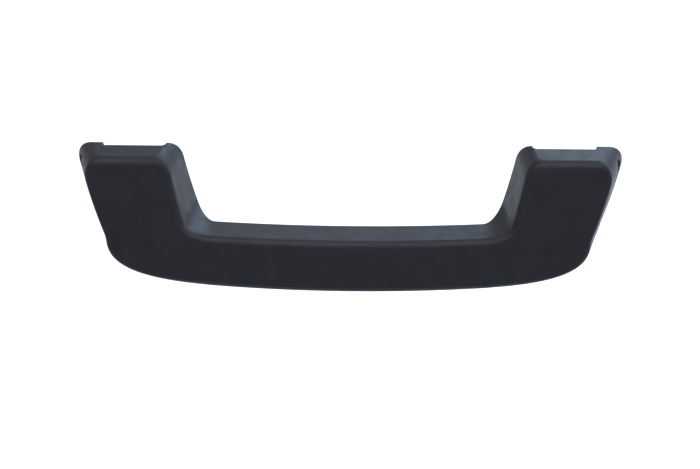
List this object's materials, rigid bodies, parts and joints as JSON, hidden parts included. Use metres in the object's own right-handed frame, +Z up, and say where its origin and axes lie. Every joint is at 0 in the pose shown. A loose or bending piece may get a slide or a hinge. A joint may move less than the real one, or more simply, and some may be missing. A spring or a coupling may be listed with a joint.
{
  "type": "fold-down assist handle",
  "caption": "U-shaped moulded assist handle on two spring-loaded hinge brackets; it folds flat to the wall and swings out when pulled.",
  "frame": {"origin": "on the mounting plane, midway between the two mounting screws", "axes": "+X along the handle, +Y into the wall it is fixed to, +Z up from the grip towards the hinge axis"},
  "size_m": [0.2344, 0.0506, 0.0605],
  "materials": {
    "shell_plastic": "fine-grained matt black moulding with a faint cool sheen",
    "rear_plastic": "matt black moulding, slightly coarser than the front",
    "bracket_plastic": "glass-filled black nylon, satin",
    "cover_plastic": "matt black cap",
    "bush_plastic": "natural acetal, smooth",
    "damper_plastic": "natural nylon, smooth",
    "rubber": "matt black rubber",
    "pin_steel": "ground steel",
    "sheet_steel": "rolled sheet steel, dull",
    "spring_steel": "oiled spring wire",
    "zinc_plate": "bright zinc plating"
  },
  "bodies": {
    "brackets": {"bracket_left": "bracket_plastic", "bracket_right": "bracket_plastic", "damper_cap": "damper_plastic", "damper_housing": "damper_plastic", "damper_seal": "rubber", "hinge_bush_left_inner": "bush_plastic", "hinge_bush_left_outer": "bush_plastic", "hinge_bush_right_inner": "bush_plastic", "hinge_bush_right_outer": "bush_plastic", "mounting_screw_left": "zinc_plate", "mounting_screw_right": "zinc_plate", "return_spring": "spring_steel", "screw_cover_left": "cover_plastic", "screw_cover_right": "cover_plastic", "screw_sleeve_left": "sheet_steel", "screw_sleeve_right": "sheet_steel", "screw_washer_left": "zinc_plate", "screw_washer_right": "zinc_plate"},
    "handle": {"handle_front_shell": "shell_plastic", "handle_rear_shell": "rear_plastic", "grip_core": "sheet_steel", "shell_screw_1": "zinc_plate", "shell_screw_2": "zinc_plate", "shell_screw_3": "zinc_plate", "shell_screw_4": "zinc_plate", "bumper_pad_left": "rubber", "bumper_pad_right": "rubber", "hinge_pin_left": "pin_steel", "hinge_pin_right": "pin_steel", "damper_rotor": "bush_plastic"}
  },
  "joints": [
    {"name": "handle_swing", "type": "hinge", "parent": "brackets", "child": "handle", "pos_m": [0, -0.0125, 0.0155], "axis": [-1, 0, 0], "range_deg": [0, 95], "stiffness_Nm_per_rad": 0.12, "springref_deg": -34.38, "deforming": ["return_spring"]}
  ]
}
